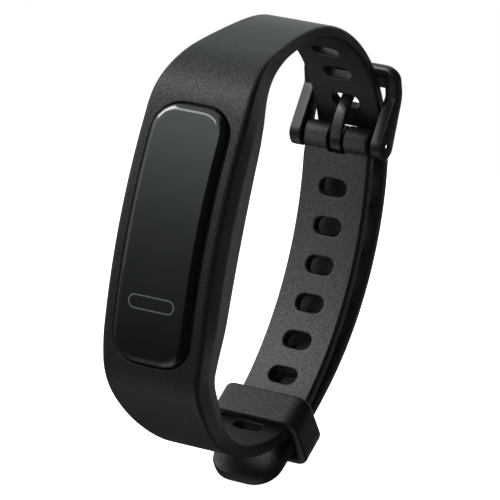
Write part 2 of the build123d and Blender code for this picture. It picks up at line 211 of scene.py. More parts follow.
def quarter(steps=EDGE_STEPS):
    """How far a rounded edge of radius 1 comes in and goes down, from its top to its side."""
    turn = np.linspace(0, math.pi / 2, steps + 1)
    return np.column_stack((1 - np.sin(turn), 1 - np.cos(turn)))


def rim(across, along):
    """Closed loop of points round the square from -1 to 1, starting along its first side."""
    a = np.linspace(-1, 1, across + 1)[:-1]
    b = np.linspace(-1, 1, along + 1)[:-1]
    one_a, one_b = np.ones(across), np.ones(along)
    sides = ((a, -one_a), (one_b, b), (-a, one_a), (-one_b, -b))
    return np.vstack([np.column_stack(side) for side in sides])


def rounded_rectangle(aims, width, height, corner):
    """Where rays from the centre, aimed at the rim of the square from -1 to 1, meet the outline."""
    corner = max(corner, 1e-3)
    half = np.array([width / 2, height / 2])
    ray = aims * half
    to_side = ray * np.min(half / np.maximum(np.abs(ray), 1e-9), axis=1)[:, None]
    inner = half - corner
    ray = ray / np.linalg.norm(ray, axis=1)[:, None]
    centre = inner * np.sign(ray)
    along = np.sum(ray * centre, axis=1)
    reach = along + np.sqrt(np.maximum(along**2 - np.sum(centre**2, axis=1) + corner**2, 0))
    in_corner = np.all(np.abs(to_side) > inner, axis=1)
    return np.where(in_corner[:, None], ray * reach[:, None], to_side)


def cap_grid(across, along, width, height, corner):
    """Grid of (x, z) points that fills a rounded rectangle, with rim(across, along) as its border."""
    a, b = np.meshgrid(np.linspace(-1, 1, across + 1), np.linspace(-1, 1, along + 1))
    flat = np.column_stack((a.ravel(), b.ravel()))
    scale = np.maximum(np.max(np.abs(flat), axis=1), 1e-9)
    outline = rounded_rectangle(flat / scale[:, None], width, height, corner)
    return (outline * scale[:, None]).reshape(along + 1, across + 1, 2)


def soft_rectangle(half_a, half_b, corner):
    """Closed outline of a rectangle with rounded corners, with a point half way up both sides."""
    starts = (0, 90, 180, 270)
    turn = np.radians(np.concatenate([np.linspace(start, start + 90, EDGE_STEPS + 1) for start in starts]))
    middle = np.radians(np.repeat(starts, EDGE_STEPS + 1) + 45)
    a = np.sign(np.cos(middle)) * (half_a - corner) + corner * np.cos(turn)
    b = np.sign(np.sin(middle)) * (half_b - corner) + corner * np.sin(turn)
    loop = np.column_stack((a, b))
    half = len(loop) // 2
    return np.vstack(((half_a, 0), loop[:half], (-half_a, 0), loop[half:]))


# ---------------------------------------------------------------- materials
BROAD_GRAIN = 14         # how much wider the broad noise is than the grain
NOISE_RANGE = (0.3, 0.7)  # where nearly all of the noise's values lie
PLAIN_SHINE = 0.5
LEAST_ROUGHNESS = 0.02
MIX_SHARE, COLOUR_A, COLOUR_B, COLOUR_OUT = 0, 6, 7, 2   # a mix node's sockets when it mixes colours


def new_material(name):
    """A node material with a principled shader; gives the material, its nodes, links and shader."""
    material = bpy.data.materials.new(name)
    material.use_nodes = True
    nodes, links = material.node_tree.nodes, material.node_tree.links
    return material, nodes, links, nodes["Principled BSDF"]


def noise(nodes, links, grain_mm, detail):
    """Noise over the object's own coordinates, with grains of about grain_mm."""
    place = nodes.new("ShaderNodeTexCoord")
    spread = nodes.new("ShaderNodeMapping")
    spread.inputs["Scale"].default_value = [1 / (grain_mm * MM)] * 3
    texture = nodes.new("ShaderNodeTexNoise")
    texture.inputs["Scale"].default_value = 1.0
    texture.inputs["Detail"].default_value = detail
    links.new(place.outputs["Object"], spread.inputs["Vector"])
    links.new(spread.outputs["Vector"], texture.inputs["Vector"])
    return texture


def surface(name, colour, roughness, grain_mm, relief_mm, mottle=0.1, spread=0.08, metallic=0.0,
            ior=1.45, speckle=0.0):
    """A finish whose colour, roughness, height and shine all vary with fine and broad noise."""
    material, nodes, links, shader = new_material(name)
    fine = noise(nodes, links, grain_mm, detail=3.0)
    broad = noise(nodes, links, BROAD_GRAIN * grain_mm, detail=2.0)
    tint = nodes.new("ShaderNodeMix")
    tint.data_type = "RGBA"
    tint.inputs[COLOUR_A].default_value = [c * (1 - mottle) for c in colour] + [1]
    tint.inputs[COLOUR_B].default_value = [c * (1 + mottle) for c in colour] + [1]
    links.new(broad.outputs["Fac"], tint.inputs[MIX_SHARE])
    links.new(tint.outputs[COLOUR_OUT], shader.inputs["Base Color"])
    polish = nodes.new("ShaderNodeMapRange")
    polish.inputs["To Min"].default_value = max(roughness - spread, LEAST_ROUGHNESS)
    polish.inputs["To Max"].default_value = min(roughness + spread, 1.0)
    links.new(fine.outputs["Fac"], polish.inputs["Value"])
    links.new(polish.outputs["Result"], shader.inputs["Roughness"])
    relief = nodes.new("ShaderNodeBump")
    relief.inputs["Distance"].default_value = relief_mm * MM
    relief.inputs["Strength"].default_value = 1.0
    links.new(fine.outputs["Fac"], relief.inputs["Height"])
    links.new(relief.outputs["Normal"], shader.inputs["Normal"])
    if speckle:
        shine = nodes.new("ShaderNodeMapRange")
        shine.inputs["From Min"].default_value, shine.inputs["From Max"].default_value = NOISE_RANGE
        shine.inputs["To Min"].default_value = PLAIN_SHINE - speckle
        shine.inputs["To Max"].default_value = PLAIN_SHINE + speckle
        links.new(fine.outputs["Fac"], shine.inputs["Value"])
        links.new(shine.outputs["Result"], shader.inputs["Specular IOR Level"])
    shader.inputs["Metallic"].default_value = metallic
    shader.inputs["IOR"].default_value = ior
    return material


silicone = surface("silicone", (0.0042, 0.0047, 0.0049), 0.4, grain_mm=0.22, relief_mm=0.065,
                   mottle=0.15, ior=1.38, speckle=0.27)
lens_black = surface("lens_black", (0.0015, 0.002, 0.0025), 0.05, grain_mm=3.0, relief_mm=0.0,
                     spread=0.02, ior=1.52)
key_ink = surface("key_ink", (0.055, 0.06, 0.064), 0.2, grain_mm=1.0, relief_mm=0.0,
                  spread=0.02)
case_black = surface("case_black", (0.006, 0.006, 0.007), 0.18, grain_mm=0.8, relief_mm=0.001)
cover_black = surface("cover_black", (0.018, 0.018, 0.019), 0.45, grain_mm=0.15, relief_mm=0.01)
buckle_black = surface("buckle_black", (0.006, 0.006, 0.0065), 0.25, grain_mm=0.5, relief_mm=0.0004,
                       ior=1.55)
bright_steel = surface("bright_steel", (0.75, 0.75, 0.77), 0.14, grain_mm=0.2, relief_mm=0.0005,
                       metallic=1.0)

# Finishes of the pieces that came over from CAD: colour, roughness, grain in mm, metallic.
CAD_FINISHES = {
    "adhesive": ((0.01, 0.01, 0.01), 0.6, 0.2, 0.0),
    "seal": ((0.02, 0.02, 0.02), 0.55, 0.2, 0.0),
    "contact_gold": ((0.83, 0.58, 0.24), 0.2, 0.3, 1.0),
    "panel_glass": ((0.01, 0.01, 0.016), 0.08, 1.0, 0.0),
    "flex_amber": ((0.5, 0.22, 0.04), 0.35, 0.6, 0.0),
    "copper": ((0.75, 0.4, 0.25), 0.3, 0.3, 1.0),
    "frame_grey": ((0.16, 0.17, 0.18), 0.5, 0.2, 0.0),
    "board_green": ((0.01, 0.09, 0.04), 0.35, 0.4, 0.0),
    "chip_black": ((0.02, 0.02, 0.02), 0.55, 0.1, 0.0),
    "pouch_foil": ((0.7, 0.7, 0.72), 0.3, 0.8, 1.0),
    "lead_wire": ((0.4, 0.02, 0.01), 0.4, 0.3, 0.0),
    "motor_steel": ((0.55, 0.55, 0.57), 0.3, 0.2, 1.0),
    "tungsten": ((0.3, 0.3, 0.31), 0.4, 0.1, 1.0),
}
finishes = {slot: surface(slot, colour, roughness, grain_mm=grain, relief_mm=0.002, metallic=metallic)
            for slot, (colour, roughness, grain, metallic) in CAD_FINISHES.items()}
finishes.update(silicone=silicone, lens_black=lens_black, key_ink=key_ink, case_plastic=case_black,
                cover_plastic=cover_black, buckle_black=buckle_black, pin_steel=bright_steel)
for part in frame["record"]["subparts"]:
    mesh = frame["nodes"][part["node"]].data
    mesh.materials.clear()
    mesh.materials.append(finishes[part["material_slot"]])


# ---------------------------------------------------------------- the silicone band's lines
BAND_HALF = 5.8          # half the strap's width
BAND_THICK = 1.95
HOLDER_HALF = 8.4        # half the holder's width in front
HOLDER_FRONT_Y, HOLDER_WRIST_Y = -9.9, -0.15
DISPLAY_RADIUS = 88.0
FRONT_TOP_Z, WRIST_TOP_Z = 19.5, 19.0
CREST = (19.83, 33.58)
CREST_CENTRE = (19.83, 6.28)
CREST_END = 46.4
TAIL_CENTRE, TAIL_RADIUS = (6.41, 3.71), 41.1
TAIL_START, TAIL_END = 17.2, -34.0
TAIL_TIP, TIP_CORNER = (26.9, -36.1), 4.2
LOW_POINT = (17.17, -30.6)
BACK_CENTRE, BACK_RADIUS = (-3.15, 2.27), 45.5
BACK_START, BACK_END = -34.0, 15.0
PIN = np.array([40.3, 18.1])
LUG_RADIUS = 2.2
HOLE_LENGTH, HOLE_WIDTH, HOLE_CORNER, HOLE_PITCH = 4.6, 2.8, 1.27, 6.3
HOLES_BELOW_TANG, HOLES_ABOVE_TANG, BACK_HOLES = 9, 2, 8
TANG_HOLE_AT = 22.9      # from the crest
LAST_BACK_HOLE_AT = 7.8  # from the pin
HOLDER_INSIDE_Y = 6      # the wrist side lies in front of this all along the pocket
FACE_POINTS, HOLDER_POINTS, LUG_POINTS = 400, 1400, 160


def front_y(z, vertex_y=HOLDER_FRONT_Y):
    """Where the curve that the display follows is, at height z."""
    return vertex_y + DISPLAY_RADIUS - np.sqrt(DISPLAY_RADIUS**2 - np.asarray(z, float) ** 2)


def tail_line():
    """Middle line of the tail, from the crest to the tip."""
    over = arc(CREST_CENTRE, CREST[1] - CREST_CENTRE[1], 90, CREST_END)
    down = arc(TAIL_CENTRE, TAIL_RADIUS, TAIL_START, TAIL_END)
    to_tip = np.array(TAIL_TIP) - down[-1]
    return join(over, spline((over[-1], down[0]), over[-1] - over[-2], down[1] - down[0]), down,
                spline((down[-1], TAIL_TIP), down[-1] - down[-2], to_tip))


def back_line():
    """Middle line of the buckle half, from the lowest point to the spring bar."""
    up = arc(BACK_CENTRE, BACK_RADIUS, BACK_START, BACK_END)
    return join(spline((LOW_POINT, up[0]), (1, 0), up[1] - up[0]), up,
                spline((up[-1], PIN), up[-1] - up[-2], (-0.1, 1)))


def holder_front():
    """Outer line from the crest down the display side to the lowest point."""
    half = BAND_THICK / 2
    z = np.linspace(FRONT_TOP_Z, -FRONT_TOP_Z, FACE_POINTS)
    middle = np.column_stack((front_y(z), z))
    top = spline(((CREST[0], CREST[1] + half), (12.1, 33.2), (2.2, 29.3), (-2.9, 26.5), middle[0]),
                 (-1, 0), middle[1] - middle[0])
    bottom = spline((middle[-1], (-2.3, -25.7), (4.5, -29.2), (LOW_POINT[0], LOW_POINT[1] - half)),
                    middle[-1] - middle[-2], (1, 0))
    return join(top, middle, bottom)


def holder_wrist():
    """Inner line from the crest down the wrist side to the lowest point."""
    half = BAND_THICK / 2
    top = spline(((CREST[0], CREST[1] - half), (7.5, 29.2), (2.6, 26.0), (HOLDER_WRIST_Y, WRIST_TOP_Z)),
                 (-1, 0), (0, -1))
    bottom = spline(((HOLDER_WRIST_Y, -WRIST_TOP_Z), (2.4, -22.5), (6.5, -26.0),
                     (LOW_POINT[0], LOW_POINT[1] + half)), (0, -1), (1, 0))
    return np.vstack((top, bottom))


class Band:
    """The band's outer and inner lines side by side, measured by u from the tail's tip to the buckle."""

    def __init__(self):
        half = BAND_THICK / 2
        tail = tail_line()
        tail_out = left_of(directions(tail)) * half
        wrist = resample(holder_wrist(), HOLDER_POINTS)
        rays = -left_of(directions(wrist))
        back = back_line()
        before_pin = lengths(back)[-1] - lengths(back) > math.sqrt(LUG_RADIUS**2 - half**2)
        back_in = left_of(directions(back)) * half
        lug_axis = directions(back)[-1]
        lug_side = left_of(lug_axis[None])[0]
        turn = np.linspace(math.pi - math.asin(half / LUG_RADIUS), 0, LUG_POINTS)[1:, None]
        lug = PIN + LUG_RADIUS * np.cos(turn) * lug_axis
        lug_half = LUG_RADIUS * np.sin(turn) * lug_side
        self.outer = join((tail + tail_out)[::-1], across_to(wrist, rays, holder_front()),
                          (back - back_in)[before_pin])
        self.inner = join((tail - tail_out)[::-1], wrist, (back + back_in)[before_pin])
        self.outer = np.vstack((self.outer, lug - lug_half))
        self.inner = np.vstack((self.inner, lug + lug_half))
        self.u = (lengths(self.outer) + lengths(self.inner)) / 2
        self.crest_u = self.u[len(tail) - 1]
        self.low_u = self.u[len(tail) + len(wrist) - 2]
        self.pin_u = self.low_u + lengths(back)[-1]
        self.end_u = self.u[-1]

    def sides(self, u):
        """Outer and inner points at u, and the thickness between them."""
        outer = np.stack([np.interp(u, self.u, self.outer[:, i]) for i in range(2)], -1)
        inner = np.stack([np.interp(u, self.u, self.inner[:, i]) for i in range(2)], -1)
        return outer, inner, np.linalg.norm(outer - inner, axis=-1)

    def place(self, x, u, depth, from_inner=False):
        """(x, y, z) of points across at x, along at u, and depth below the outer or the inner side."""
        x, u, depth = np.broadcast_arrays(np.asarray(x, float), u, depth)
        outer, inner, thick = self.sides(u)
        share = (depth / np.maximum(thick, 1e-6))[..., None]
        start, end = (inner, outer) if from_inner else (outer, inner)
        flat = start + (end - start) * share
        return np.concatenate((x[..., None], flat), -1)

    def u_at(self, z, side):
        """u where a side of the holder passes height z."""
        holder = (self.u > self.crest_u) & (self.u < self.low_u) & (self.inner[:, 0] < HOLDER_INSIDE_Y)
        return np.interp(-np.asarray(z, float), -side[holder, 1], self.u[holder])


# ---------------------------------------------------------------- the silicone band's sections
SHOULDER_SLOPE = math.radians(40)
# The holder's half width and how far down the shoulder's slope it is reached.
TOP_CHEEK = ((HOLDER_HALF, 5), (8.0, 9.5), (7.1, 14.8), (6.5, 20.4), (6.0, 26.1), (BAND_HALF, 38))
BOTTOM_CHEEK = ((HOLDER_HALF, 3), (8.0, 7.6), (7.5, 14.7), (6.9, 19.4), (6.3, 23.5), (5.9, 29.5),
                (BAND_HALF, 38))
CREASE_DEPTH = 4.1       # from the front to the line where the side turns in, at the most
CREASE_PAST_MIDDLE = 0.5
SIDE_TAPER = 0.195       # how fast the side comes in beyond that line
OUTER_ROWS, INNER_ROWS = (0.5, 0.85, 1.0), (0.12, 0.5)   # points on the side, as shares of its facets
STRAP_PAST_CREST, STRAP_PAST_LOW = 4, 8                  # where the strap has its plain width
MOST_ROUND = 0.45        # of the thickness
FRONT_ROUND, STRAP_ROUND, WRIST_ROUND, HOLE_ROUND = 0.85, 0.4, 0.3, 0.3
TIP_SECTIONS = 8
ROUND_GROWS = (2, 8)     # thicknesses between which the front edge's rounding grows
ACROSS, HOLE_ALONG, POCKET_ALONG, LUG_ALONG = 12, 8, 48, 21   # cells across the band and along it
TAIL_SPACING, HOLDER_SPACING, BACK_SPACING = 0.8, 0.7, 0.5   # between sections without holes
POCKET_END_Z = 22.5
SLOT_HALF, SLOT_DEPTH = 1.55, 2.3
LUG_BORE_RADIUS = 0.8
SLOT_COLUMNS = slice(ACROSS // 3, 2 * ACROSS // 3 + 1)
SLOT_CELLS = 4           # through the strap
HOLE_RINGS, POCKET_RINGS, WINDOW_RINGS = 4, 6, 8   # from a cell's border in to its opening
RING_CROWDING = 1.6      # above 1, the rings lie closer together near the opening

band = Band()


def half_width(points, u):
    """Half the band's width at points of its side outline, which narrows round the shoulders."""
    along = points[:, 0] * math.cos(SHOULDER_SLOPE) + np.abs(points[:, 1]) * math.sin(SHOULDER_SLOPE)
    top, bottom = (spline(cheek, (0, 1), (0, 1)) for cheek in (TOP_CHEEK, BOTTOM_CHEEK))
    width = np.where(points[:, 1] > 0, np.interp(along, top[:, 1], top[:, 0]),
                     np.interp(along, bottom[:, 1], bottom[:, 0]))
    strap = (u < band.crest_u - STRAP_PAST_CREST) | (u > band.low_u + STRAP_PAST_LOW)
    return np.where(strap, BAND_HALF, width)


def even(start, end, spacing):
    """Evenly spaced values that leave out the last one."""
    return np.linspace(start, end, max(int(round((end - start) / spacing)), 1) + 1)[:-1]


class Sections:
    """Where the band is cut into sections, and the shape of each one."""

    def __init__(self):
        tail_steps = np.arange(HOLES_BELOW_TANG, -HOLES_ABOVE_TANG - 1, -1)
        tail_holes = band.crest_u - TANG_HOLE_AT - HOLE_PITCH * tail_steps
        back_holes = band.pin_u - LAST_BACK_HOLE_AT - HOLE_PITCH * np.arange(BACK_HOLES)[::-1]
        pocket_u = [band.u_at(z, band.outer) for z in (POCKET_END_Z, -POCKET_END_Z)]
        slot_u = band.pin_u - SLOT_DEPTH
        half = HOLE_PITCH / 2
        turn = np.linspace(0, math.pi / 2, TIP_SECTIONS + 1)[:-1]
        stations = [TIP_CORNER * (1 - np.cos(turn)), even(TIP_CORNER, tail_holes[0] - half, TAIL_SPACING)]
        self.holes = []

        def hole_rows(centres):
            for centre in centres:
                self.holes.append((sum(len(s) for s in stations), centre))
                stations.append(np.linspace(centre - half, centre + half, HOLE_ALONG + 1)[:-1])

        hole_rows(tail_holes)
        stations.append(even(tail_holes[-1] + half, pocket_u[0], HOLDER_SPACING))
        self.pocket_row = sum(len(s) for s in stations)
        stations.append(np.linspace(*pocket_u, POCKET_ALONG + 1)[:-1])
        stations.append(even(pocket_u[1], back_holes[0] - half, HOLDER_SPACING))
        hole_rows(back_holes)
        self.last_hole_end = sum(len(s) for s in stations)
        stations.append(even(back_holes[-1] + half, slot_u, BACK_SPACING))
        self.slot_row = sum(len(s) for s in stations)
        stations.append(np.linspace(slot_u, band.end_u, LUG_ALONG + 1))
        self.u = np.concatenate(stations)
        self.lean = np.zeros(len(self.u))       # how far the border faces along the band
        self.lean[:len(turn)] = np.cos(turn)
        self.square = np.sqrt(1 - self.lean**2)
        self.measure()

    def measure(self):
        """Half widths, edge roundings and the side's profile at each section."""
        outer, inner, self.thick = band.sides(self.u)
        past_middle = CREASE_PAST_MIDDLE * np.minimum(self.thick / BAND_THICK, 1)
        dark = np.minimum(CREASE_DEPTH, self.thick / 2 + past_middle)
        share = (dark / np.maximum(self.thick, 1e-6))[:, None]
        self.half = half_width(outer, self.u)
        at_tip = self.lean > 0
        self.half[at_tip] = BAND_HALF - TIP_CORNER * (1 - self.square[at_tip])
        crease_in = np.maximum(self.half - half_width(outer + (inner - outer) * share, self.u), 0)
        taper = SIDE_TAPER * (self.thick - dark)
        wrist_in = np.maximum(self.half - half_width(inner, self.u), crease_in + taper)
        crease_in[at_tip] = 0
        wrist_in[at_tip] = taper[at_tip]
        grown = np.interp(self.thick, ROUND_GROWS, (0, 1))
        front_round = STRAP_ROUND + (FRONT_ROUND - STRAP_ROUND) * grown * grown * (3 - 2 * grown)
        front_round = np.minimum(front_round, MOST_ROUND * self.thick)
        wrist_round = np.minimum(WRIST_ROUND, MOST_ROUND * self.thick)
        inset, depth = [], []
        for come_in, go_down in quarter():
            inset.append(front_round * come_in)
            depth.append(front_round * go_down)
        for part in OUTER_ROWS:
            depth.append(front_round + (dark - front_round) * part)
            inset.append(crease_in * part)
        for part in INNER_ROWS:
            depth.append(dark + (self.thick - wrist_round - dark) * part)
            inset.append(crease_in + (wrist_in - crease_in) * part)
        for come_in, go_down in quarter()[::-1]:
            inset.append(wrist_in + wrist_round * come_in)
            depth.append(self.thick - wrist_round * go_down)
        self.inset, self.depth = np.array(inset).T, np.array(depth).T

    def edge(self, column):
        """Half width and u of the sheet's border on the outer (0) or the inner side (-1)."""
        inset = self.inset[:, column]
        return self.half - self.square * inset, self.u + self.lean * inset

    def columns(self, row, reach):
        """x of the points across a sheet; past the last hole they line up with the tang's slot."""
        plain = np.linspace(-reach, reach, ACROSS + 1)
        third = ACROSS // 3 + 1
        beside, slot = np.linspace(-reach, -SLOT_HALF, third), np.linspace(-SLOT_HALF, SLOT_HALF, third)
        slotted = np.concatenate((beside, slot[1:], -beside[-2::-1]))
        share = np.clip((row - self.last_hole_end) / (self.slot_row - self.last_hole_end), 0, 1)
        return plain + (slotted - plain) * share


sections = Sections()


def sheet_rows(column, first, last):
    """Rows of the outer (0) or inner (-1) sheet from one section to another."""
    reach, u = sections.edge(column)
    return np.array([band.place(sections.columns(i, reach[i]), u[i], 0, from_inner=column != 0)
                     for i in range(first, last + 1)])


def border_ring(column, first, along):
    """x and u round the border of a cell of the sheet that starts at a section."""
    reach, u = sections.edge(column)
    loop = rim(ACROSS, along)
    row = np.rint(first + (loop[:, 1] + 1) / 2 * along).astype(int)
    return loop[:, 0] * reach[row], u[row]


def shrinking_rings(border, opening, from_inner, steps):
    """Rings on a sheet's surface from a cell's border in to an opening's edge."""
    rings = []
    for share in 1 - (1 - np.linspace(0, 1, steps + 1)) ** RING_CROWDING:
        x, u = (b + (o - b) * share for b, o in zip(border, opening))
        rings.append(band.place(x, u, 0, from_inner))
    return rings


def adjustment_hole(skin, first, centre):
    """One oblong hole through the strap, with soft edges."""
    loop = rim(ACROSS, HOLE_ALONG)

    def outline(grow):
        """x and u round the hole, grown by a width."""
        flat = rounded_rectangle(loop, HOLE_LENGTH + 2 * grow, HOLE_WIDTH + 2 * grow, HOLE_CORNER + grow)
        return flat[:, 0], centre + flat[:, 1]

    rows = []
    for column, from_inner in ((0, False), (-1, True)):
        border = border_ring(column, first, HOLE_ALONG)
        rings = shrinking_rings(border, outline(HOLE_ROUND), from_inner, HOLE_RINGS)
        for come_in, go_down in quarter()[1:]:
            rings.append(band.place(*outline(HOLE_ROUND * come_in), HOLE_ROUND * go_down, from_inner))
        rows += rings if column == 0 else rings[::-1]
    skin.grid(rows, closed=True)


POCKET = (12.84, 38.5, 4.4)                  # width, height, corner
POCKET_FLOOR = (11.4, 36.6, 4.7)
WINDOW = (9.0, 24.2, 3.0)
POCKET_DRAFT_Y, POCKET_FLOOR_Y = -7.4, -1.1


def core_pocket(skin):
    """The opening that holds the core, its walls and floor, and the window in the floor."""
    loop = rim(ACROSS, POCKET_ALONG)

    def outline(size, grow=0.0):
        """x and z round an opening, grown by a width."""
        width, height, corner = size
        flat = rounded_rectangle(loop, width + 2 * grow, height + 2 * grow, corner + grow)
        return flat[:, 0], -flat[:, 1]

    def on_side(size, grow, side):
        """x and u of the same outline on the outer or the inner side."""
        x, z = outline(size, grow)
        return x, band.u_at(z, side)

    def flat_ring(size, y):
        """An opening's outline at one distance from the front."""
        x, z = outline(size)
        return np.column_stack((x, np.full(len(x), y), z))

    first = sections.pocket_row
    rows = shrinking_rings(border_ring(0, first, POCKET_ALONG), on_side(POCKET, HOLE_ROUND, band.outer),
                           False, POCKET_RINGS)
    for come_in, go_down in quarter()[1:]:
        edge = on_side(POCKET, HOLE_ROUND * come_in, band.outer)
        rows.append(band.place(*edge, HOLE_ROUND * go_down))
    rows += [flat_ring(POCKET, POCKET_DRAFT_Y), flat_ring(POCKET_FLOOR, POCKET_FLOOR_Y),
             flat_ring(WINDOW, POCKET_FLOOR_Y)]
    inner = shrinking_rings(border_ring(-1, first, POCKET_ALONG), on_side(WINDOW, HOLE_ROUND, band.inner),
                            True, WINDOW_RINGS)
    for come_in, go_down in quarter()[1:]:
        edge = on_side(WINDOW, HOLE_ROUND * come_in, band.inner)
        inner.append(band.place(*edge, HOLE_ROUND * go_down, True))
    skin.grid(rows + inner[::-1], closed=True)


def lug_slot(skin):
    """Floor and side walls of the slot that the tang turns in."""
    first, last = sections.slot_row, len(sections.u) - 1
    share = np.linspace(0, 1, SLOT_CELLS + 1)
    x = sections.columns(first, sections.edge(0)[0][first])[SLOT_COLUMNS]
    skin.grid([band.place(x, sections.u[first], sections.thick[first] * s) for s in share])
    for side in (-SLOT_HALF, SLOT_HALF):
        skin.grid([band.place(side, sections.u[i], sections.thick[i] * share)
                   for i in range(first, last + 1)])


def silicone_band():
    """The whole moulding: tail, holder with its pocket, and buckle half."""
    skin = Skin()
    x = sections.half[:, None] - sections.square[:, None] * sections.inset
    u = sections.u[:, None] + sections.lean[:, None] * sections.inset
    for side in (-1, 1):
        skin.grid(band.place(side * x, u, sections.depth))
    tip = sections.half[0]
    skin.grid([band.place(np.linspace(-tip, tip, ACROSS + 1), inset, depth)
               for inset, depth in zip(sections.inset[0], sections.depth[0])])
    cells = [(first, HOLE_ALONG) for first, centre in sections.holes]
    cells.append((sections.pocket_row, POCKET_ALONG))
    for column in (0, -1):
        row = 0
        for first, along in sorted(cells):
            if first > row:
                skin.grid(sheet_rows(column, row, first))
            row = first + along
        skin.grid(sheet_rows(column, row, sections.slot_row))
        lugs = sheet_rows(column, sections.slot_row, len(sections.u) - 1)
        skin.grid(lugs[:, :SLOT_COLUMNS.start + 1])
        skin.grid(lugs[:, SLOT_COLUMNS.stop - 1:])
    for first, centre in sections.holes:
        adjustment_hole(skin, first, centre)
    core_pocket(skin)
    lug_slot(skin)
    skin.build("silicone_band", silicone, "band", "strap",
               bore=(PIN, LUG_BORE_RADIUS, BAND_HALF))


silicone_band()


# ---------------------------------------------------------------- lens and key outline
LENS = (12.4, 38.2, 4.1)                     # width, height, corner
LENS_FRONT_Y, LENS_THICK = -11.15, 1.5
LENS_INSET, LENS_DROP = 1.3, 1.15            # how far its rounded edge comes in and goes down
LENS_EDGE_STEPS, LENS_CELLS = 8, (12, 36)
KEY = (7.7, 2.15, 1.07)
KEY_Z, KEY_LINE, KEY_PROUD, KEY_SUNK = -10.2, 0.2, 0.012, 0.05
KEY_CELLS = (24, 8)


def shrunk(size, inset):
    """Width, height and corner of a rounded rectangle brought in all round."""
    width, height, corner = size
    return width - 2 * inset, height - 2 * inset, corner - inset


def on_lens(flat, depth):
    """Points (x, z) laid on the lens's curved front, at a depth below it."""
    return np.stack((flat[..., 0], front_y(flat[..., 1], LENS_FRONT_Y) + depth, flat[..., 1]), -1)


def lens():
    """The glossy cover over the display, with a rounded front edge."""
    loop = rim(*LENS_CELLS)
    rings = [on_lens(rounded_rectangle(loop, *shrunk(LENS, LENS_INSET * come_in)), LENS_DROP * go_down)
             for come_in, go_down in quarter(LENS_EDGE_STEPS)]
    rings.append(on_lens(rounded_rectangle(loop, *LENS), LENS_THICK))
    skin = Skin()
    skin.grid(rings, closed=True)
    skin.grid(on_lens(cap_grid(*LENS_CELLS, *shrunk(LENS, LENS_INSET)), 0))
    skin.grid(on_lens(cap_grid(*LENS_CELLS, *LENS), LENS_THICK))
    skin.build("lens", lens_black, "core", "cover_lens")


def key_outline():
    """Outline of the touch key, printed on the lens."""
    loop = rim(*KEY_CELLS)
    profile = ((0, KEY_SUNK), (0, -KEY_PROUD), (KEY_LINE, -KEY_PROUD), (KEY_LINE, KEY_SUNK), (0, KEY_SUNK))
    rings = []
    for inset, depth in profile:
        rings.append(on_lens(rounded_rectangle(loop, *shrunk(KEY, inset)) + (0, KEY_Z), depth))
    skin = Skin()
    skin.grid(rings, closed=True)
    skin.build("key_outline", key_ink, "core", "key_mark")


lens()
key_outline()


# ---------------------------------------------------------------- keeper
KEEPER_ANGLE = math.radians(-39.1)
KEEPER_LENGTH, KEEPER_WALL, KEEPER_EDGE = 5.6, 1.4, 0.45
TUNNEL = (12.2, 7.55, 0.8)                   # width, height, corner
TUNNEL_MIDDLE = 1.325                        # how far outside the back half its middle is
KEEPER_CELLS = (20, 12)


def keeper():
    """The loop that holds the tail down: one rounded wall round an oblong tunnel."""
    outward = np.array([math.cos(KEEPER_ANGLE), math.sin(KEEPER_ANGLE)])
    axis = left_of(outward[None])[0]
    middle = np.array(BACK_CENTRE) + (BACK_RADIUS + TUNNEL_MIDDLE) * outward
    loop = rim(*KEEPER_CELLS)
    wall = soft_rectangle(KEEPER_WALL / 2, KEEPER_LENGTH / 2, KEEPER_EDGE)
    rings = []
    for grow, along in np.vstack((wall, wall[:1])):
        flat = rounded_rectangle(loop, *shrunk(TUNNEL, -(grow + KEEPER_WALL / 2)))
        rings.append(np.column_stack((flat[:, 0], middle + flat[:, 1:] * outward + along * axis)))
    skin = Skin()
    skin.grid(rings, closed=True)
    skin.build("keeper", silicone, "keeper", "keeper_loop")


keeper()


# ---------------------------------------------------------------- buckle frame
ARM_X = 7.125            # middle of an arm
ARM_HALF, BAR_HALF = 0.975, 1.0
ARM_BEND, BAR_MIDDLE = np.array([41.4, 26.0]), np.array([39.4, 29.5])
ARM_END, BEND_HALF = 2.2, 1.15               # half the arm's depth at the pin and at the bend
FRAME_CORNER = 1.225     # radius of the frame's corners along their middle line
ARM_EDGE, BAR_EDGE = 0.25, 0.9
BORE_RADIUS = 0.5
LIP_HALF, LIP_MIDDLE, LIP_EDGE = (0.33, 1.25), (39.88, 28.25), 0.2   # the lip under the bar
BEND_FROM, BEND_TO = 0.9, 0.2                # where the bend starts and ends, as shares of the straights
ARM_POINTS, HOOP_RINGS, END_RINGS = 201, 151, 25


def arm_line():
    """Middle line of an arm: straight from the pin, a short bend, and straight on past the bar."""
    rise, lean = ARM_BEND - PIN, BAR_MIDDLE - ARM_BEND
    before, after = PIN + BEND_FROM * rise, ARM_BEND + BEND_TO * lean
    end = BAR_MIDDLE + 2 * BAR_HALF * unit(lean)
    bend = spline((before, after), rise, lean)
    return resample(join(np.array((PIN, before)), bend, np.array((after, end))), ARM_POINTS)


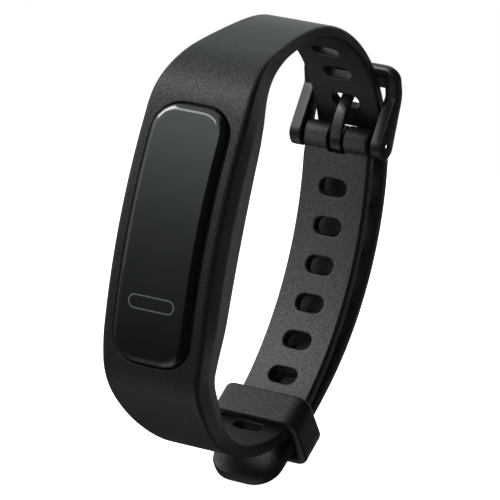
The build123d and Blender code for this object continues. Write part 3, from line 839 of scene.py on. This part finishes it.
def buckle_frame():
    """Two arms and the bar between them as one bent hoop, with round ends at the pin."""
    line = arm_line()
    along = lengths(line)
    run = along[-1] - 2 * BAR_HALF
    bend = along[np.argmin(np.linalg.norm(line - ARM_BEND, axis=1))]
    corner = (ARM_X - FRAME_CORNER, run - FRAME_CORNER)
    right = np.vstack(((0, run), arc(corner, FRAME_CORNER, 90, 0), (ARM_X, 0)))
    path = resample(np.vstack((right[::-1] * (-1, 1), right[1:])), HOOP_RINGS)
    across = left_of(directions(path))

    def laid(flat, rise):
        """Points (x, distance from the pin), lifted off the hoop's middle surface."""
        middle, heading = (np.column_stack([np.interp(flat[:, 1], along, values[:, i]) for i in range(2)])
                           for values in (line, directions(line)))
        return np.column_stack((flat[:, 0], middle + rise[:, None] * left_of(heading)))

    def section(distance):
        """Outline of the hoop's section at a distance from the pin."""
        to_bar = np.clip((distance - run) / FRAME_CORNER + 1, 0, 1)
        return soft_rectangle(np.interp(distance, (0, run), (ARM_HALF, BAR_HALF)),
                              np.interp(distance, (0, bend, run), (ARM_END, BEND_HALF, BAR_HALF)),
                              ARM_EDGE + (BAR_EDGE - ARM_EDGE) * to_bar)

    rings = []
    for (x, distance), side in zip(path, across):
        outline = section(distance)
        rings.append(laid((x, distance) + outline[:, :1] * side, outline[:, 1]))
    skin = Skin()
    skin.grid(rings, closed=True)
    outline = section(0)
    outline = outline[:len(outline) // 2 + 1]
    start = unit(line[1] - line[0])
    normal = left_of(start[None])[0]
    for x in (-ARM_X, ARM_X):
        rings = []
        for turn in np.linspace(0, math.pi, END_RINGS):
            spoke = math.cos(turn) * normal - math.sin(turn) * start
            rings.append(np.column_stack((x + outline[:, 0], PIN + outline[:, 1:] * spoke)))
        skin.grid(rings)
    lip = soft_rectangle(*LIP_HALF, LIP_EDGE)
    skin.grid([np.column_stack((np.full(len(lip), x), LIP_MIDDLE + lip * scale))
               for x, scale in ((-ARM_X, 0), (-ARM_X, 1), (ARM_X, 1), (ARM_X, 0))], closed=True)
    skin.build("buckle_hoop", buckle_black, "buckle_frame", "buckle_frame",
               bore=(PIN, BORE_RADIUS, ARM_X + 2 * ARM_HALF))


buckle_frame()


# ---------------------------------------------------------------- tang
TANG_HALF, TANG_THICK, TANG_EDGE = 0.95, 0.95, 0.22
TANG_EYE = 1.675         # radius of its eye along the middle line
TANG_WRAP = (440, 180)   # angles from which and to which it wraps the pin
TANG_REST_Y = 40.925     # where it lies over the bar
TANG_RINGS = 121


def tang():
    """A flat strip rolled round the pin and bent over the bar."""
    eye = arc(PIN, TANG_EYE, *TANG_WRAP)
    over_bar = ((38.775, 21.5), (40.0, 24.6), (TANG_REST_Y, 28.3), (TANG_REST_Y, 30.1))
    blade = spline((eye[-1], *over_bar), (0, 1), (0, 1))
    path = resample(join(eye, blade), TANG_RINGS)
    outline = soft_rectangle(TANG_HALF, TANG_THICK / 2, TANG_EDGE)
    rings = []
    for middle, normal in zip(path, left_of(directions(path))):
        rings.append(np.column_stack((outline[:, 0], middle + outline[:, 1:] * normal)))
    ends = []
    for ring, middle in ((rings[0], path[0]), (rings[-1], path[-1])):
        ends.append(np.column_stack((ring[:, 0], np.tile(middle, (len(ring), 1)))))
    skin = Skin()
    skin.grid([ends[0]] + rings + [ends[1]], closed=True)
    skin.build("tang", buckle_black, "buckle_tang", "buckle_tang")


tang()


# ---------------------------------------------------------------- stage, lights and camera
CAMERA_YAW, CAMERA_PITCH, CAMERA_ROLL = (math.radians(d) for d in (28.5, 2.28, 10.62))
CAMERA_DISTANCE = 0.55
CLIP_START, CLIP_END = 0.01, 20
CAMERA_TARGET = Vector((0, -0.0096, 0))
SENSOR_WIDTH = 36
FLOOR_HALF = 6.0
FOCAL = 7.624            # focal length over the picture's width
AIM_RIGHT, AIM_UP = 0.0217235, -0.0039035   # slopes of the camera's aim off the target


def photo_camera():
    """Camera in the view of the reference: above, to the right of the display, and rolled."""
    front = Vector((math.sin(CAMERA_YAW), -math.cos(CAMERA_YAW), 0))
    back = math.cos(CAMERA_PITCH) * front + Vector((0, 0, math.sin(CAMERA_PITCH)))
    level = Vector((math.cos(CAMERA_YAW), math.sin(CAMERA_YAW), 0))
    upright = back.cross(level)
    right = math.cos(CAMERA_ROLL) * level + math.sin(CAMERA_ROLL) * upright
    up = -math.sin(CAMERA_ROLL) * level + math.cos(CAMERA_ROLL) * upright
    look = (-back + AIM_RIGHT * right + AIM_UP * up).normalized()
    up = (up - up.dot(look) * look).normalized()
    camera = bpy.data.objects.new("camera", bpy.data.cameras.new("camera"))
    camera.data.sensor_width = SENSOR_WIDTH
    camera.data.lens = SENSOR_WIDTH * FOCAL
    camera.data.clip_start, camera.data.clip_end = CLIP_START, CLIP_END
    camera.matrix_world = Matrix.Translation(CAMERA_TARGET + back * CAMERA_DISTANCE) @ Matrix(
        (look.cross(up), up, -look)).transposed().to_4x4()
    bpy.context.scene.collection.objects.link(camera)
    bpy.context.scene.camera = camera


def softbox(name, place, size, power, aim=None, only=()):
    """Rectangular lamp that looks at the object's middle or at aim, and lights all pieces or only some."""
    lamp = bpy.data.lights.new(name, "AREA")
    lamp.shape = "RECTANGLE"
    lamp.size, lamp.size_y = size
    lamp.energy = power
    holder = bpy.data.objects.new(name, lamp)
    if only:
        lit = bpy.data.collections.new(name)
        for piece in only:
            lit.objects.link(bpy.data.objects[piece])
        holder.light_linking.receiver_collection = lit
    holder.visible_camera = False
    holder.location = place
    aim = Vector(aim) if aim else (cad_box[0] + cad_box[1]) / 2
    holder.rotation_euler = (aim - Vector(place)).to_track_quat("-Z", "Y").to_euler()
    bpy.context.scene.collection.objects.link(holder)


def floor():
    """Plain white floor under the lowest point."""
    mesh = bpy.data.meshes.new("floor")
    corners = ((-1, -1), (1, -1), (1, 1), (-1, 1))
    mesh.from_pydata([(x * FLOOR_HALF, y * FLOOR_HALF, cad_box[0].z) for x, y in corners], [], [(0, 1, 2, 3)])
    material, nodes, links, shader = new_material("floor_white")
    shader.inputs["Base Color"].default_value = (0.9, 0.9, 0.9, 1)
    shader.inputs["Roughness"].default_value = 0.9
    shader.inputs["Specular IOR Level"].default_value = 0.0
    shader.inputs["Emission Color"].default_value = (1, 1, 1, 1)
    shader.inputs["Emission Strength"].default_value = 1.0
    mesh.materials.append(material)
    plane = bpy.data.objects.new("floor", mesh)
    plane.visible_glossy = False
    bpy.context.scene.collection.objects.link(plane)


# Brightness of the room at heights seen from the object, as the sine of the angle above the horizon.
ROOM = ((-1.0, 1.2), (-0.88, 0.3), (-0.7, 0.1), (-0.45, 0.08), (-0.3, 0.15), (0.0, 0.5), (0.2, 1.2),
        (0.36, 2.0), (0.6, 1.5), (1.0, 1.0))
ROOM_TINT = (0.93, 1.0, 1.01)
ROOM_BRIGHTEST = 2.0
DARK_RIGHT = (0.05, 0.3, 0.03)   # sines to the right between which the room darkens, and how dark it gets
DIM_BACK = (-0.2, 0.5, 0.5)      # the same towards the back


def studio_world():
    """White to the camera; for the object, a room that is pale above and dark below."""
    world = bpy.data.worlds.new("studio")
    bpy.context.scene.world = world
    world.use_nodes = True
    nodes, links = world.node_tree.nodes, world.node_tree.links
    shade = nodes["Background"]
    place = nodes.new("ShaderNodeTexCoord")
    split = nodes.new("ShaderNodeSeparateXYZ")
    height = nodes.new("ShaderNodeMapRange")
    height.inputs["From Min"].default_value = -1
    room = nodes.new("ShaderNodeValToRGB")
    room.color_ramp.interpolation = "B_SPLINE"
    while len(room.color_ramp.elements) < len(ROOM):
        room.color_ramp.elements.new(0.5)
    for element, (sine, level) in zip(room.color_ramp.elements, ROOM):
        element.position = (sine + 1) / 2
        element.color = [level / ROOM_BRIGHTEST * tint for tint in ROOM_TINT] + [1]
    path = nodes.new("ShaderNodeLightPath")
    pick = nodes.new("ShaderNodeMix")
    pick.data_type = "RGBA"
    pick.inputs[COLOUR_B].default_value = (1, 1, 1, 1)
    strength = nodes.new("ShaderNodeMapRange")
    strength.inputs["To Min"].default_value = ROOM_BRIGHTEST
    links.new(place.outputs["Generated"], split.inputs[0])
    links.new(split.outputs["Z"], height.inputs["Value"])
    links.new(height.outputs["Result"], room.inputs["Fac"])
    seen = room.outputs["Color"]
    for axis, (start, end, level) in (("X", DARK_RIGHT), ("Y", DIM_BACK)):
        fade = nodes.new("ShaderNodeMapRange")
        fade.inputs["From Min"].default_value, fade.inputs["From Max"].default_value = start, end
        fade.inputs["To Min"].default_value, fade.inputs["To Max"].default_value = 1, level
        faded = nodes.new("ShaderNodeVectorMath")
        faded.operation = "SCALE"
        links.new(split.outputs[axis], fade.inputs["Value"])
        links.new(seen, faded.inputs[0])
        links.new(fade.outputs["Result"], faded.inputs["Scale"])
        seen = faded.outputs[0]
    links.new(seen, pick.inputs[COLOUR_A])
    for outcome in (pick.inputs[MIX_SHARE], strength.inputs["Value"]):
        links.new(path.outputs["Is Camera Ray"], outcome)
    links.new(pick.outputs[COLOUR_OUT], shade.inputs["Color"])
    links.new(strength.outputs["Result"], shade.inputs["Strength"])


photo_camera()
floor()
studio_world()
softbox("top_light", (-0.28, -0.32, 0.42), (0.5, 0.18), 1.5)
softbox("left_light", (-0.6, -0.25, 0.1), (0.3, 0.4), 0.2)
softbox("inner_light", (-0.014, 0.018, -0.004), (0.02, 0.04), 0.0048,
        aim=(0, 0.045, -0.004), only=("silicone_band",))
softbox("lens_light", (-0.385, -0.08, 0.315), (0.26, 0.26), 1.9, only=("lens",))
softbox("back_light", (-0.03, 0.7, 0.1), (0.22, 0.6), 0.3)
softbox("pin_light", (0.246, 0.48, -0.002), (0.24, 0.24), 0.8,
        only=("pin_plunger_left", "pin_plunger_right"))
bpy.context.scene.view_settings.view_transform = "Standard"
